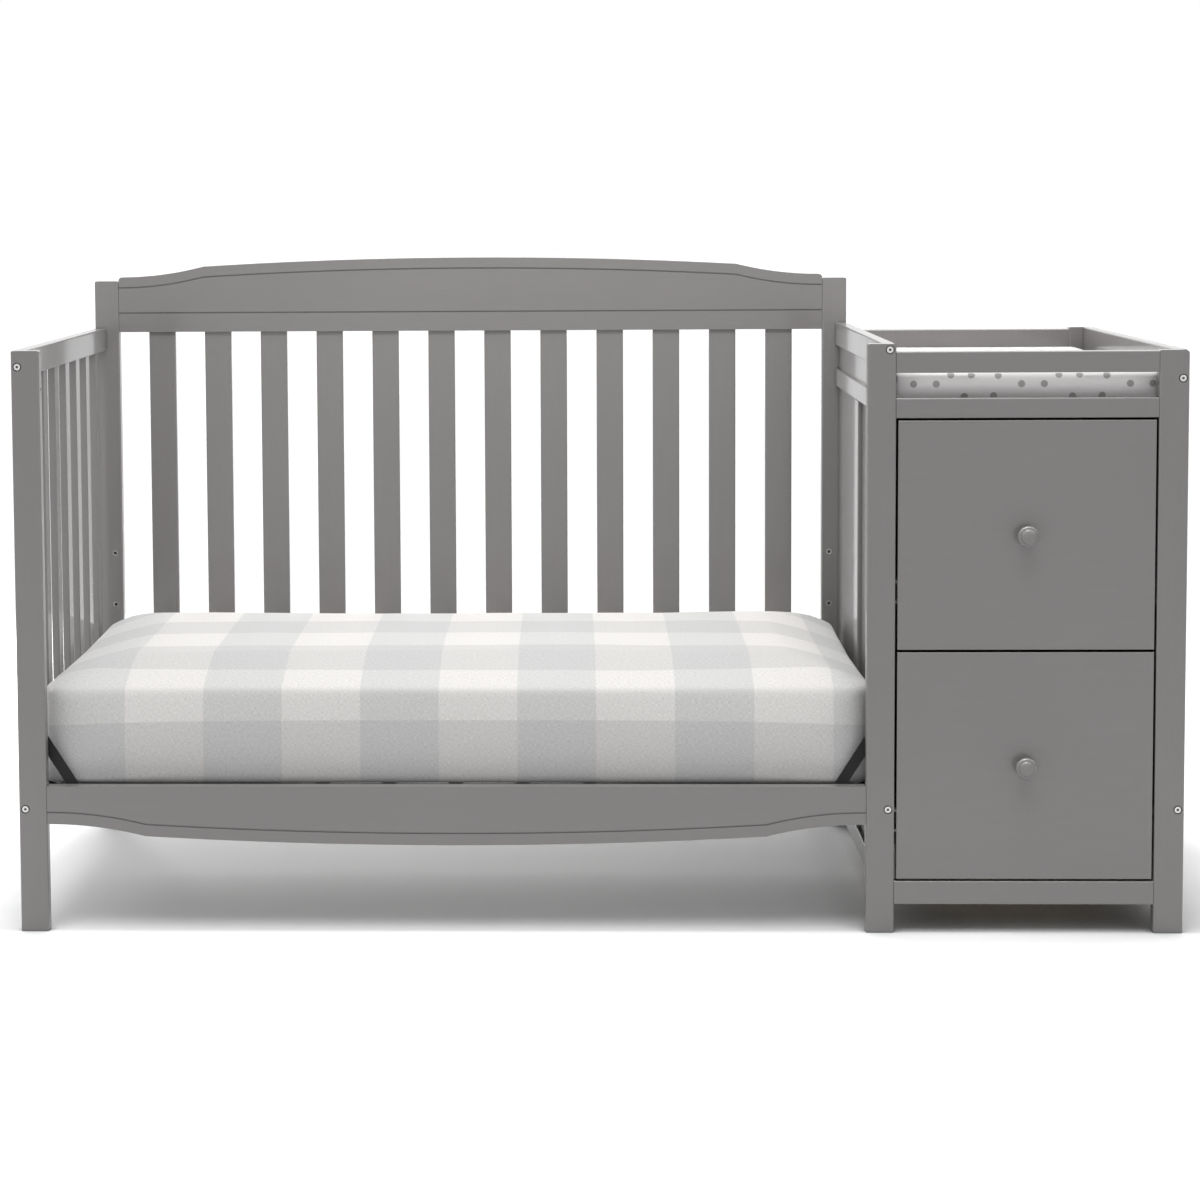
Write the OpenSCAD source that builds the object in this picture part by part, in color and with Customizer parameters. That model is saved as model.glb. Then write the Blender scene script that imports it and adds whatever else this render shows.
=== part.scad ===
// Wooden crib with an attached two-drawer changer, set up as a daybed.
// Layout coordinates: x runs right from the left posts' outer face, y runs back from the
// front faces of the front posts, z runs up from the floor. in_frame() moves the layout
// so that the origin lies at the centre of the overall footprint, on the floor.

/* [Overall] */
// Length of the crib over its two end frames
crib_length = 1370; // [1250:1:1500]
// Width that the changer adds beside the crib
changer_width = 448; // [400:1:520]
// Depth over the front and back posts
body_depth = 755; // [680:1:800]

/* [Posts] */
// Width of a crib post
post_width = 44; // [40:1:60]
// Width of a changer post
changer_post_width = 46; // [42:1:60]
// Thickness of every post
post_thickness = 22; // [20:1:30]
// Height of the changer's right posts, which the other posts' heights are set from
changer_post_height = 910; // [892:1:960]
// Height of the left front post over the changer's posts
left_post_rise = 6; // [0:0.5:14]
// Height over the changer's posts of the front post that crib and changer share
centre_post_rise = 11; // [4:0.5:20]
// How far the back posts beside the headboard end below its ends
back_post_drop = 7; // [0:0.5:16]
// Radius of the posts' long edges
post_edge_r = 3; // [1:0.5:4]
// Radius of a post's corners at its top and foot
post_corner_r = 3.5; // [2:0.5:6]
// Distance of the small side holes below the top of the left front post
side_hole_drop = 60.5; // [40:0.5:90]
// Diameter of the small side holes
side_hole_diameter = 5; // [3:0.5:6]
// Depth of the small side holes
side_hole_depth = 10; // [6:1:18]
// Radius of the outer top corner of the changer's front post
changer_corner_r = 7; // [3:0.5:12]

/* [Rails] */
// Thickness of the rails
rail_thickness = 20; // [16:0.5:20.5]
// How far the rails stand back from the faces of the posts
rail_setback = 1; // [0.5:0.5:1.5]
// Radius of the rails' long edges
rail_edge_r = 2; // [1:0.5:4]
// Height of the top rails of the crib's two ends
end_rail_height = 41; // [34:1:60]
// Height of the low rails of all three ends
low_rail_height = 44; // [34:1:60]
// Height of the low rails' bottom edge over the floor
low_rail_z = 173; // [150:1:182]

/* [Headboard and front rail] */
// How far the headboard rail's bottom edge lies below the top of the shared front post
headboard_drop = 12; // [3:0.5:40]
// Height of the headboard rail at its ends
headboard_end_height = 100; // [88:1:140]
// Height of the front rail's top edge over the floor
front_rail_top = 231; // [222:1:250]
// Height of the front rail at its ends
front_rail_end_height = 60; // [50:1:80]
// Distance of the arch's kinks from the ends of both rails
kink_inset = 155; // [100:1:220]
// Rise of the arch at its kinks
kink_rise = 19; // [10:1:24]
// Rise of the arch at its middle
arch_rise = 33; // [26:1:45]
// Distance of the curved groove from the arched edge
arch_groove_inset = 19; // [12:1:26]
// Distance of the straight groove from the headboard's bottom edge
straight_groove_z = 35; // [25:1:45]
// Width of the grooves
groove_width = 2.4; // [1:0.1:4]
// Depth of the grooves
groove_depth = 1.6; // [0.8:0.1:3]

/* [Slats] */
// Number of slats in the back panel
back_slat_count = 12; // [10:1:14]
// Width of a back slat
back_slat_width = 48.3; // [35:0.1:60]
// Thickness of a back slat
back_slat_thickness = 12; // [8:0.5:15]
// Number of slats in the left end
end_slat_count = 7; // [5:1:9]
// Width of a slat of the left end
end_slat_width = 35; // [25:1:50]
// Thickness of a slat of the left end
end_slat_thickness = 12; // [8:0.5:16]
// Width of the upright in the middle of the changer's closed ends
muntin_width = 48; // [35:1:70]

/* [Changer] */
// Height of the changer's top rails
tray_rail_height = 33; // [26:1:40]
// How far the tray's rails lie below the tops of the changer's posts
tray_rail_drop = 1; // [1:0.5:6]
// How far the tray's back rail lies below its front rail
tray_back_drop = 2; // [0:0.5:8]
// Open height between the tray's rails
tray_gap = 39; // [30:1:50]
// Height of the rails that the shelf lies between
middle_rail_height = 31; // [26:1:34]
// Height of the bottom rails
bottom_rail_height = 37; // [30:1:50]
// Height of the bottom rails over the floor
bottom_rail_z = 45; // [30:1:60]
// Height of the top rail of the changer's outer end
outer_rail_height = 87; // [60:1:100]
// Depth of the closed ends' panels behind the faces of the rails around them
panel_recess = 7; // [3:0.5:12]
// Thickness of the hardboard back
back_board_thickness = 4; // [3:0.5:6]
// Thickness of the shelf that carries the changing pad
shelf_thickness = 12; // [9:1:18]
// Height of the shelf's underside over the bottom edge of the rails around it
shelf_lift = 2; // [0:0.5:6]

/* [Drawers] */
// Thickness of the drawer fronts
drawer_front_thickness = 18; // [15:1:20]
// Gap at each side of a drawer front
front_side_gap = 3.5; // [1.5:0.5:4]
// Gap over the upper drawer front and under the lower one
front_end_gap = 3.5; // [1.5:0.5:4]
// Gap between the two drawer fronts
front_middle_gap = 4; // [2:0.5:6]
// Length of the drawer boxes behind their fronts
box_length = 480; // [400:5:600]
// Height of the drawer boxes
box_height = 250; // [180:5:290]
// Height of a drawer box over the bottom edge of its front
box_lift = 30; // [15:1:40]
// Thickness of the drawer sides and backs
box_wall = 12; // [10:1:16]
// Thickness of the drawer bottoms
box_bottom_thickness = 5; // [3:0.5:8]
// Height of a drawer bottom over the lower edge of its sides
box_bottom_lift = 8; // [4:1:15]

/* [Runners] */
// Width that a pair of runners takes between cabinet and drawer
runner_space = 12.7; // [11:0.1:15]
// Height of a cabinet runner
runner_height = 36; // [30:1:46]
// Thickness of the runners' steel
runner_steel = 1.5; // [1:0.1:2]
// Running clearance between the two members of a runner
runner_clearance = 0.5; // [0.3:0.1:0.8]
// Height of the runners' lower edge over the lower edge of the drawer's sides
runner_lift = 40; // [20:1:90]
// Height of the wooden battens that carry the right-hand runners
batten_height = 50; // [46:1:80]

/* [Knobs] */
// Diameter of a knob's head
knob_diameter = 34; // [28:1:40]
// Reach of a knob in front of its drawer front
knob_reach = 28; // [22:1:34]
// Diameter of a knob's stem
knob_stem_diameter = 17; // [12:1:20]
// Diameter of the machine screw that holds a knob
knob_screw_diameter = 4; // [3:0.5:5]

/* [Fasteners] */
// Diameter of the bolts' shanks
bolt_diameter = 5.9; // [4:0.1:7]
// Diameter of the bolts' heads
bolt_head_diameter = 10; // [9:0.5:12]
// Height of the bolts' heads
bolt_head_height = 4; // [3:0.5:5]
// Diameter of the recess around a bolt's head
bolt_recess_diameter = 13.6; // [12.5:0.1:15]
// Hexagon socket across flats
bolt_socket = 4; // [3:0.5:5]
// Reach of a bolt into the rail that it holds
bolt_reach = 42; // [34:1:60]
// Distance of the end frames' bolts from the outer faces of the posts
end_bolt_inset = 10; // [8:0.5:11]
// Distance of the left end's upper bolts below the top of the left front post
left_bolt_drop = 25; // [12:0.5:28]
// Distance of the divider's upper bolts below the top of the shared front post
centre_bolt_drop = 9; // [8.5:0.5:26]
// Diameter of the barrel nuts
barrel_nut_diameter = 10; // [8.5:0.5:12]
// Length of the barrel nuts
barrel_nut_length = 14; // [12:1:16]
// Clearance round shanks and nuts in the wood
wood_clearance = 0.3; // [0.1:0.05:0.5]
// Clearance between a shank and its thread
thread_clearance = 0.05; // [0.02:0.01:0.1]

/* [Mattress support] */
// Distance of the threaded inserts from the posts' outer faces
insert_inset = 30; // [26:1:32]
// Height of the lowest threaded inserts over the floor
insert_z = 312; // [300:1:330]
// Height step between the threaded inserts
insert_pitch = 95; // [80:1:110]
// Outer diameter of a threaded insert
insert_diameter = 10; // [9:0.5:12]
// Length of a threaded insert
insert_length = 13; // [10:1:16]
// Thickness of the hangers' steel
hanger_steel = 2.5; // [2:0.5:3]
// Width of a hanger
hanger_width = 17; // [14:1:24]
// Distance of a hanger's lower bolt from the posts' outer faces
hanger_foot_inset = 92; // [80:1:120]
// Height of the deck's top face over the floor
deck_z = 226; // [215:1:230]
// Clearance between the deck and the rails of the ends
deck_end_clearance = 4; // [2:1:10]
// Leg of the deck's angle steel
angle_leg = 25; // [20:1:32]
// Thickness of the deck's steel
angle_steel = 2.5; // [2:0.5:4]
// Width of the deck's cross straps
strap_width = 22; // [15:1:35]
// Number of the deck's cross straps
strap_count = 11; // [9:1:13]
// Room for the weld between two bars of the deck
weld_gap = 0.2; // [0.1:0.05:0.5]

/* [Mattress] */
// Height of the mattress's border at its top seam
mattress_border = 150; // [120:1:160]
// Height of the crown over the top seam
mattress_crown = 38; // [10:1:40]
// Corner radius of the mattress in plan
mattress_corner_r = 45; // [40:1:80]
// Clearance between the mattress and the crib's ends
mattress_end_clearance = 2; // [1:0.5:6]
// Clearance between the mattress and the hangers
mattress_side_clearance = 7.5; // [6:0.5:12]
// How far the long sides draw in between the corners
mattress_draw = 4; // [0:1:8]

/* [Changing pad] */
// Gap between the changing pad and the divider
pad_divider_gap = 2; // [1:0.5:20]
// Gap between the changing pad and the outer end
pad_outer_gap = 14; // [4:1:40]
// Gap between the changing pad and the rails before and behind it
pad_end_gap = 10.5; // [4:0.5:40]
// Height of the changing pad
pad_height = 58; // [40:1:70]
// Corner radius of the changing pad in plan
pad_corner_r = 14; // [14:1:50]
// How far the pad's sides draw in between the corners
pad_draw = 3; // [0:1:6]
// Air that a soft piece keeps to what it lies on or beside
soft_clearance = 0.3; // [0.2:0.1:1]

/* [Hidden] */
$fn = 48;

function back_slat_name(i) = str("back_slat_", i < 10 ? "0" : "", i);

// Colours of the finishes
paint = [0.51, 0.5, 0.49];
board_brown = [0.55, 0.47, 0.38];
plywood = [0.78, 0.68, 0.52];
black_steel = [0.08, 0.08, 0.085];
zinc = [0.72, 0.73, 0.74];
sheet_cotton = [0.82, 0.82, 0.81];
pad_cotton = [0.87, 0.86, 0.86];

// Overall
total_width = crib_length + changer_width;
cut = 1;

// Heights of the posts
left_post_height = changer_post_height + left_post_rise;
centre_post_height = changer_post_height + centre_post_rise;
headboard_z = centre_post_height - headboard_drop;
headboard_end_z = headboard_z + headboard_end_height;
back_post_height = headboard_end_z - back_post_drop;

// Places of the posts
centre_post_x = crib_length - post_width;
changer_post_x = total_width - changer_post_width;
back_post_y = body_depth - post_thickness;
crib_span = crib_length - 2 * post_width;
changer_span = changer_post_x - crib_length;
end_span = back_post_y - post_thickness;

// Rails of the front and back
front_rail_y = rail_setback;
back_rail_y = body_depth - rail_setback - rail_thickness;
divider_x = crib_length - rail_thickness;
outer_end_x = total_width - rail_thickness;

// Tops of the three ends
end_rail_z = left_post_height - end_rail_height;
divider_rail_z = centre_post_height - end_rail_height;
outer_rail_z = changer_post_height - outer_rail_height;
low_rail_top = low_rail_z + low_rail_height;
bottom_rail_top = bottom_rail_z + bottom_rail_height;

// Rails round the changer's tray
tray_rail_z = changer_post_height - tray_rail_drop - tray_rail_height;
middle_rail_z = tray_rail_z - tray_gap - middle_rail_height;
shelf_z = middle_rail_z + shelf_lift;
shelf_top = shelf_z + shelf_thickness;
shelf_y = front_rail_y + rail_thickness;
shelf_length = back_rail_y - shelf_y;
tray_width = outer_end_x - crib_length;

// Panels between the cross rails of an end: pairs of lower and upper edge
divider_bays = [
    [bottom_rail_top, low_rail_z],
    [low_rail_top, middle_rail_z],
    [middle_rail_z + middle_rail_height, divider_rail_z]];
outer_bays = [[bottom_rail_top, low_rail_z], [low_rail_top, outer_rail_z]];
panel_thickness = rail_thickness - panel_recess;
half_panel = (end_span - muntin_width) / 2;
muntin_y = post_thickness + half_panel;

// Headboard rail and front rail
arch_start = 5;
headboard_corner_r = 6;
front_rail_end_z = front_rail_top - front_rail_end_height;
bottom_rail_back_z = front_rail_end_z;
lower_arc_run = kink_inset - arch_start;
lower_arc_r = (pow(lower_arc_run, 2) + pow(kink_rise, 2)) / (2 * kink_rise);
crown_run = crib_span / 2 - kink_inset;
crown_lift = arch_rise - kink_rise;
crown_r = (pow(crown_run, 2) + pow(crown_lift, 2)) / (2 * crown_lift);
arch_steps = 10;
crown_steps = 20;
arch_stations = concat(
    [0],
    [for (i = [0:arch_steps]) arch_start + lower_arc_run * i / arch_steps],
    [for (i = [1:crown_steps - 1]) kink_inset + 2 * crown_run * i / crown_steps],
    [for (i = [0:arch_steps]) crib_span - kink_inset + lower_arc_run * i / arch_steps],
    [crib_span]);

// Slats of the back
back_slat_gap = (crib_span - back_slat_count * back_slat_width) / (back_slat_count + 1);
back_slat_y = back_rail_y + (rail_thickness - back_slat_thickness) / 2;
back_slat_z = bottom_rail_back_z + front_rail_end_height;

// Drawers
front_y = front_rail_y;
front_x = crib_length + front_side_gap;
front_width = changer_span - 2 * front_side_gap;
fronts_low = bottom_rail_top + front_end_gap;
fronts_high = middle_rail_z - front_end_gap;
front_height = (fronts_high - fronts_low - front_middle_gap) / 2;
lower_front_z = fronts_low;
upper_front_z = fronts_high - front_height;
box_x = crib_length + runner_space;
box_width = changer_span - 2 * runner_space;
box_y = front_y + drawer_front_thickness;
inner_width = box_width - 2 * box_wall;
batten_x = changer_post_x;
batten_thickness = outer_end_x - changer_post_x;
runner_top_gap = (batten_height - runner_height) / 2;

// Knobs and their screws
knob_x = front_x + front_width / 2;
knob_head_depth = 15;
knob_neck_taper = 1.5;
knob_foot_length = 4;
knob_rim = knob_diameter / 2;
knob_head_y = knob_reach - knob_head_depth;
knob_ring_r = knob_rim - 6.5;
knob_ring_depth = 1;
knob_screw_head = 9;
knob_screw_head_height = 2.5;
knob_screw_reach = 14;
knob_hole_depth = 16;

// Bolts and nuts
bolt_tail = 2;
nut_depth = bolt_reach - barrel_nut_diameter / 2 - bolt_tail;
low_bolt_z = low_rail_z + low_rail_height / 2;
left_bolt_z = left_post_height - left_bolt_drop;
centre_bolt_z = centre_post_height - centre_bolt_drop;
changer_bolt_z = outer_rail_z + outer_rail_height / 2;
cross_bolt_rise = 20;
cross_bolt_z = low_bolt_z + cross_bolt_rise;
headboard_bolt_low = 26;
headboard_bolt_pitch = 50;
rail_middle_y = front_rail_y + rail_thickness / 2;
back_middle_y = back_rail_y + rail_thickness / 2;
into_back = [-90, 0, 0];
into_front = [90, 0, 0];
to_right = [0, 90, 0];
to_left = [0, -90, 0];

// A bolt: where its head sits on the post, the turn of its axis, the post's size along
// the axis, and the side and reach of the hole that its barrel nut goes in by
end_bolts = [for (end = [
        [end_bolt_inset, left_bolt_z, end_rail_z],
        [crib_length - end_bolt_inset, centre_bolt_z, divider_rail_z],
        [total_width - end_bolt_inset, changer_bolt_z, outer_rail_z],
        [end_bolt_inset, low_bolt_z, low_rail_z],
        [crib_length - end_bolt_inset, low_bolt_z, low_rail_z],
        [total_width - end_bolt_inset, low_bolt_z, low_rail_z]])
    each [
        [[end[0], 0, end[1]], into_back, post_thickness, 1, end[1] - end[2]],
        [[end[0], body_depth, end[1]], into_front, post_thickness, -1, end[1] - end[2]]]];
back_nut_reach = rail_thickness / 2;
cross_bolt_spots = [
    [rail_middle_y, cross_bolt_z],
    [back_middle_y, cross_bolt_z],
    [back_middle_y, headboard_z + headboard_bolt_low],
    [back_middle_y, headboard_z + headboard_bolt_low + headboard_bolt_pitch]];
cross_bolts = [for (spot = cross_bolt_spots)
    each [
        [[0, spot[0], spot[1]], to_right, post_width, 1, back_nut_reach],
        [[crib_length, spot[0], spot[1]], to_left, post_width, 1, back_nut_reach]]];
bolts = concat(end_bolts, cross_bolts);

// Threaded inserts: inner faces of the four posts round the mattress
insert_xs = [insert_inset, crib_length - insert_inset];
insert_levels = [for (i = [0:2]) insert_z + i * insert_pitch];
insert_places = [for (x = insert_xs, z = insert_levels)
    each [
        [[x, post_thickness, z], into_front],
        [[x, back_post_y, z], into_back]]];

// Small holes in the side faces that the front posts turn to each other
side_hole_z = left_post_height - side_hole_drop;
side_holes = [
    [[post_width, post_thickness / 2, side_hole_z], to_left],
    [[centre_post_x, post_thickness / 2, side_hole_z], to_right]];

// Mattress deck and its hangers
deck_x = rail_thickness + deck_end_clearance;
deck_length = crib_length - 2 * deck_x;
deck_y = post_thickness + hanger_steel;
deck_depth = body_depth - 2 * deck_y;
cross_y = deck_y + angle_leg + weld_gap;
cross_length = body_depth - 2 * cross_y;
hanger_foot_z = deck_z - angle_leg / 2;
hanger_run = hanger_foot_inset - insert_inset;
hanger_drop = insert_z - hanger_foot_z;
hanger_angle = atan2(hanger_drop, hanger_run);
hanger_reach = norm([hanger_run, hanger_drop]);
hanger_hole = bolt_diameter + 2 * wood_clearance;

// Mattress: rings from its flat underside to its crown, each as the inset from the
// largest outline and the height over the deck
mattress_length = crib_length - 2 * (rail_thickness + mattress_end_clearance);
mattress_depth = deck_depth - 2 * mattress_side_clearance;
mattress_base = deck_z + soft_clearance;
seam_inset = 6;
crown_rings = 6;
crown_reach = 194;
crown_fade = 38;
mattress_rings = concat(
    [[10, 0], [3, 3], [0.6, 10], [0.3, 30]],
    [for (t = [0.45, 0.72, 0.9]) [2.5 * t, mattress_border * t]],
    [[seam_inset, mattress_border]],
    [for (i = [1:crown_rings])
        let (d = crown_reach * pow(i / crown_rings, 1.6))
        [seam_inset + d, mattress_border + mattress_crown * (1 - exp(-d / crown_fade))]]);

// Changing pad, in the same way
pad_width = tray_width - pad_divider_gap - pad_outer_gap;
pad_length = shelf_length - 2 * pad_end_gap;
pad_x = crib_length + pad_divider_gap;
pad_y = shelf_y + pad_end_gap;
pad_base = shelf_top + soft_clearance;
pad_crown = 2;
pad_crown_rings = 4;
pad_crown_reach = 137;
pad_crown_fade = 40;
pad_shoulder = pad_height - pad_crown;
pad_shoulder_r = 8;
pad_rings = concat(
    [[10, 0], [3, 3]],
    [for (t = [0.25, 0.5]) [0, pad_shoulder * t]],
    [for (a = [15:25:90])
        [pad_shoulder_r * (1 - cos(a)), pad_shoulder - pad_shoulder_r * (1 - sin(a))]],
    [for (i = [1:pad_crown_rings])
        let (d = pad_crown_reach * pow(i / pad_crown_rings, 1.4))
        [pad_shoulder_r + d, pad_shoulder + pad_crown * (1 - exp(-d / pad_crown_fade))]]);
ring_arc_steps = 6;
ring_side_steps = 6;

// Helper shapes

module in_frame() {
    translate([-total_width / 2, (knob_reach - front_y - body_depth) / 2, 0]) children();
}

// Flat rounded rectangle; radii run lower left, lower right, upper right, upper left
module rounded_sheet(size, radii) {
    difference() {
        square(size);
        for (i = [0:3]) {
            right = i == 1 || i == 2;
            high = i > 1;
            translate([right ? size.x : 0, high ? size.y : 0])
                mirror([right ? 1 : 0, 0]) mirror([0, high ? 1 : 0]) difference() {
                    translate([-cut, -cut]) square(radii[i] + cut);
                    translate([radii[i], radii[i]]) circle(r = radii[i]);
                }
        }
    }
}

module board_along_x(size, r) {
    rotate([90, 0, 90]) linear_extrude(size.x)
        rounded_sheet([size.y, size.z], [r, r, r, r]);
}

module board_along_y(size, radii) {
    translate([0, size.y, 0]) rotate([90, 0, 0]) linear_extrude(size.y)
        rounded_sheet([size.x, size.z], radii);
}

module board_along_z(size, r) {
    linear_extrude(size.z) rounded_sheet([size.x, size.y], [r, r, r, r]);
}

// Turns a shape's +Z into the direction of a bolt
module at_bolt(bolt) {
    translate(bolt[0]) rotate(bolt[1]) children();
}

// Recess, shank hole and nut hole of every bolt, the holes of the inserts and the small
// side holes
module fastener_cuts() {
    for (bolt = bolts) at_bolt(bolt) {
        translate([0, 0, -cut]) cylinder(d = bolt_recess_diameter, h = cut + bolt_head_height);
        cylinder(d = bolt_diameter + 2 * wood_clearance, h = bolt[2] + bolt_reach);
        translate([0, 0, bolt[2] + nut_depth]) rotate([-90 * bolt[3], 0, 0])
            translate([0, 0, -barrel_nut_length / 2])
                cylinder(d = barrel_nut_diameter + 2 * wood_clearance,
                    h = barrel_nut_length / 2 + bolt[4] + cut);
    }
    for (place = insert_places) translate(place[0]) rotate(place[1])
        translate([0, 0, -cut])
            cylinder(d = insert_diameter + 2 * thread_clearance, h = insert_length + cut);
    for (place = side_holes) translate(place[0]) rotate(place[1])
        translate([0, 0, -cut]) cylinder(d = side_hole_diameter, h = side_hole_depth + cut);
}

module post(x, y, width, height, radii) {
    color(paint) in_frame() difference() {
        translate([x, y, 0]) intersection() {
            board_along_z([width, post_thickness, height], post_edge_r);
            board_along_y([width, post_thickness, height], radii);
        }
        fastener_cuts();
    }
}

// Rail of an end, running front to back between two posts
module end_rail(x, z, height) {
    color(paint) in_frame() difference() {
        translate([x, post_thickness, z])
            board_along_y([rail_thickness, end_span, height],
                [rail_edge_r, rail_edge_r, rail_edge_r, rail_edge_r]);
        fastener_cuts();
    }
}

// Rail that runs left to right between two posts
module long_rail(x, y, z, length, height) {
    color(paint) in_frame() translate([x, y, z])
        board_along_x([length, rail_thickness, height], rail_edge_r);
}

// Height of the arch over its ends, at a distance u from its left end
function arch_at(u) =
    let (s = min(u, crib_span - u))
    s <= arch_start ? 0
    : s <= kink_inset ? lower_arc_r - sqrt(pow(lower_arc_r, 2) - pow(s - arch_start, 2))
    : arch_rise - crown_r + sqrt(pow(crown_r, 2) - pow(crib_span / 2 - s, 2));

function arch_line(lift) = [for (u = arch_stations) [u, arch_at(u) + lift]];

function reversed(list) = [for (i = [len(list) - 1:-1:0]) list[i]];

// Flat outline between a straight bottom edge and the arch
module arched_outline(end_height) {
    polygon(concat([[0, 0], [crib_span, 0]], reversed(arch_line(end_height))));
}

// Groove that follows the arch
module arch_groove(end_height) {
    lower = arch_line(end_height - arch_groove_inset - groove_width / 2);
    upper = arch_line(end_height - arch_groove_inset + groove_width / 2);
    polygon(concat(lower, reversed(upper)));
}

// Stands a flat outline up along the x axis, its face at y and its body behind it
module upright(y, thickness) {
    translate([post_width, y + thickness, 0]) rotate([90, 0, 0])
        linear_extrude(thickness) children();
}

// Frame

module left_front_post() {
    r = post_corner_r;
    post(0, 0, post_width, left_post_height, [r, r, r, r]);
}

module left_back_post() {
    r = post_corner_r;
    post(0, back_post_y, post_width, back_post_height, [r, r, r, r]);
}

module centre_front_post() {
    r = post_corner_r;
    post(centre_post_x, 0, post_width, centre_post_height, [r, r, r, r]);
}

module centre_back_post() {
    r = post_corner_r;
    post(centre_post_x, back_post_y, post_width, back_post_height, [r, r, r, r]);
}

module changer_front_post() {
    r = post_corner_r;
    post(changer_post_x, 0, changer_post_width, changer_post_height,
        [r, r, changer_corner_r, r]);
}

module changer_back_post() {
    r = post_corner_r;
    post(changer_post_x, back_post_y, changer_post_width, changer_post_height,
        [r, r, changer_corner_r, r]);
}

module left_end_top_rail() {
    end_rail(0, end_rail_z, end_rail_height);
}

module left_end_low_rail() {
    end_rail(0, low_rail_z, low_rail_height);
}

module left_end_slats() {
    gap = (end_span - end_slat_count * end_slat_width) / (end_slat_count + 1);
    for (i = [0:end_slat_count - 1])
        color(paint) in_frame()
            translate([(rail_thickness - end_slat_thickness) / 2,
                post_thickness + gap + i * (end_slat_width + gap), low_rail_top])
                board_along_z([end_slat_thickness, end_slat_width,
                    end_rail_z - low_rail_top], rail_edge_r);
}

module headboard_rail() {
    color(paint) in_frame() difference() {
        translate([0, 0, headboard_z]) difference() {
            upright(back_rail_y, rail_thickness) arched_outline(headboard_end_height);
            upright(back_rail_y - cut, cut + groove_depth) {
                arch_groove(headboard_end_height);
                translate([-cut, straight_groove_z - groove_width / 2])
                    square([crib_span + 2 * cut, groove_width]);
            }
            upright(back_rail_y - cut, rail_thickness + 2 * cut)
                for (side = [0, 1])
                    translate([side * crib_span, headboard_end_height])
                        mirror([side, 0]) mirror([0, 1]) difference() {
                            translate([-cut, -cut]) square(headboard_corner_r + cut);
                            translate([headboard_corner_r, headboard_corner_r])
                                circle(r = headboard_corner_r);
                        }
        }
        fastener_cuts();
    }
}

module back_bottom_rail() {
    color(paint) in_frame() difference() {
        translate([post_width, back_rail_y, bottom_rail_back_z])
            board_along_x([crib_span, rail_thickness, front_rail_end_height], rail_edge_r);
        fastener_cuts();
    }
}

module back_slat(i) {
    color(paint) in_frame()
        translate([post_width + back_slat_gap + (i - 1) * (back_slat_width + back_slat_gap),
            back_slat_y, back_slat_z])
            board_along_z([back_slat_width, back_slat_thickness,
                headboard_z - back_slat_z], rail_edge_r);
}

module front_rail() {
    color(paint) in_frame() difference() {
        translate([0, 0, front_rail_top]) difference() {
            upright(front_rail_y, rail_thickness)
                mirror([0, 1]) arched_outline(front_rail_end_height);
            upright(front_rail_y - cut, cut + groove_depth)
                mirror([0, 1]) arch_groove(front_rail_end_height);
        }
        fastener_cuts();
    }
}

// Divider between crib and changer

module divider_top_rail() {
    end_rail(divider_x, divider_rail_z, end_rail_height);
}

module divider_cross_rails() {
    end_rail(divider_x, bottom_rail_z, bottom_rail_height);
    end_rail(divider_x, low_rail_z, low_rail_height);
    end_rail(divider_x, middle_rail_z, middle_rail_height);
}

// Panel of a closed end, whose inner face is flush with the frame around it
module end_panel(x, y, length, bay) {
    color(paint) in_frame() translate([x, y, bay[0]])
        cube([panel_thickness, length, bay[1] - bay[0]]);
}

// Two panels, before and behind the upright in the middle of a bay
module half_panels(x, bay) {
    for (y = [post_thickness, muntin_y + muntin_width]) end_panel(x, y, half_panel, bay);
}

module divider_panels() {
    for (bay = [divider_bays[0], divider_bays[1]])
        half_panels(divider_x + panel_recess, bay);
    end_panel(divider_x + panel_recess, post_thickness, end_span, divider_bays[2]);
}

module muntin(x, bay) {
    color(paint) in_frame() translate([x, muntin_y, bay[0]])
        board_along_z([rail_thickness, muntin_width, bay[1] - bay[0]], rail_edge_r);
}

// Uprights of the divider and of the changer's outer end
module end_muntins() {
    for (bay = [divider_bays[0], divider_bays[1]]) muntin(divider_x, bay);
    for (bay = outer_bays) muntin(outer_end_x, bay);
}

// Outer end of the changer

module outer_end_top_rail() {
    end_rail(outer_end_x, outer_rail_z, outer_rail_height);
}

module outer_end_cross_rails() {
    end_rail(outer_end_x, bottom_rail_z, bottom_rail_height);
    end_rail(outer_end_x, low_rail_z, low_rail_height);
}

module outer_end_panels() {
    for (bay = outer_bays) half_panels(outer_end_x, bay);
}

// Front and back of the changer

module changer_top_rail() {
    long_rail(crib_length, front_rail_y, tray_rail_z, changer_span, tray_rail_height);
}

module changer_middle_rail() {
    long_rail(crib_length, front_rail_y, middle_rail_z, changer_span, middle_rail_height);
}

module changer_bottom_rail() {
    long_rail(crib_length, front_rail_y, bottom_rail_z, changer_span, bottom_rail_height);
}

module changer_back_rails() {
    long_rail(crib_length, back_rail_y, tray_rail_z - tray_back_drop, changer_span,
        tray_rail_height);
    long_rail(crib_length, back_rail_y, middle_rail_z, changer_span, middle_rail_height);
    long_rail(crib_length, back_rail_y, bottom_rail_z, changer_span, bottom_rail_height);
}

module changer_back_board() {
    color(board_brown) in_frame()
        translate([crib_length, back_rail_y + rail_thickness / 2, bottom_rail_top])
            cube([changer_span, back_board_thickness, middle_rail_z - bottom_rail_top]);
}

// The shelf is notched round the changer's posts
module changer_shelf() {
    color(paint) in_frame() translate([crib_length, 0, shelf_z]) difference() {
        translate([0, shelf_y, 0]) cube([tray_width, shelf_length, shelf_thickness]);
        for (y = [0, back_post_y])
            translate([changer_span, y, -cut])
                cube([changer_post_width, post_thickness, shelf_thickness + 2 * cut]);
    }
}

// Drawers and runners

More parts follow.
